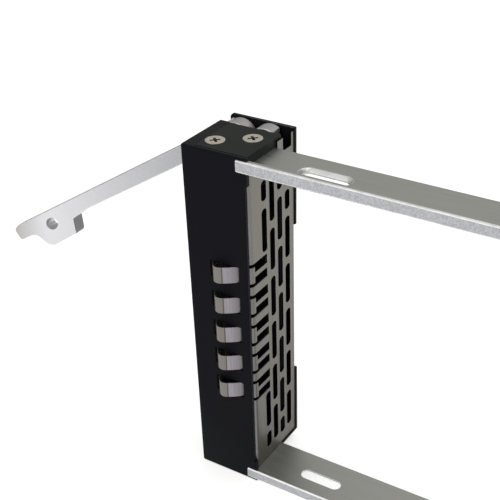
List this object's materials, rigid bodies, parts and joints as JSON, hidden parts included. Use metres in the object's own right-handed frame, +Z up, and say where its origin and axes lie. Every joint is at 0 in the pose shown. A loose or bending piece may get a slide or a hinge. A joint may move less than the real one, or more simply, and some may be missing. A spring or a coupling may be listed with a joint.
{
  "type": "hot-swap drive carrier",
  "caption": "Tall narrow black bezel with a folded spring-finger shield and a swing-out ejector lever, carried on slotted side rails for one 3.5-inch drive.",
  "frame": {"origin": "on the lower rail's inner face, midway between its two drive screw slots", "axes": "+Z up along the tall bezel, +Y along the rails towards the drive's connector end, +X towards the spring-finger side"},
  "size_m": [0.0269, 0.2537, 0.1106],
  "materials": {
    "moulded_black": "fine satin moulded black",
    "cover_black": "satin moulded black, slightly warmer than the housing",
    "rail_aluminium": "satin extruded aluminium with bright bevelled edges",
    "shield_steel": "thin satin stainless sheet, warm grey",
    "screw_steel": "nickel-plated steel",
    "insert_brass": "turned brass",
    "lever_aluminium": "matte silver, fine grain",
    "pin_steel": "ground steel",
    "spring_steel": "drawn spring wire",
    "lock_black": "satin moulded black"
  },
  "bodies": {
    "carrier": {"bezel_housing": "moulded_black", "top_end_cover": "cover_black", "bottom_end_cover": "cover_black", "top_rail": "rail_aluminium", "bottom_rail": "rail_aluminium", "emi_shield": "shield_steel", "top_screw_front": "screw_steel", "top_screw_rear": "screw_steel", "bottom_screw_front": "screw_steel", "bottom_screw_rear": "screw_steel", "top_inserts": "insert_brass", "bottom_inserts": "insert_brass", "lever_pivot_pin": "pin_steel", "lever_stop_pin": "pin_steel", "lever_washer": "pin_steel", "lever_return_spring": "spring_steel", "lock_guide_plate": "shield_steel", "lock_guide_screws": "screw_steel"},
    "lever": {"ejector_lever": "lever_aluminium"},
    "lock": {"lock_slider": "lock_black"}
  },
  "joints": [
    {"name": "lever_hinge", "type": "hinge", "parent": "carrier", "child": "lever", "pos_m": [-0.01465, -0.0863, 0.1011], "axis": [1, 0, 0], "range_deg": [0, 57.8], "stiffness_Nm_per_rad": 0.016, "springref_deg": -57.3},
    {"name": "lock_slide", "type": "slide", "parent": "carrier", "child": "lock", "axis": [-1, 0, 0], "range_m": [0, 0.0032]}
  ]
}
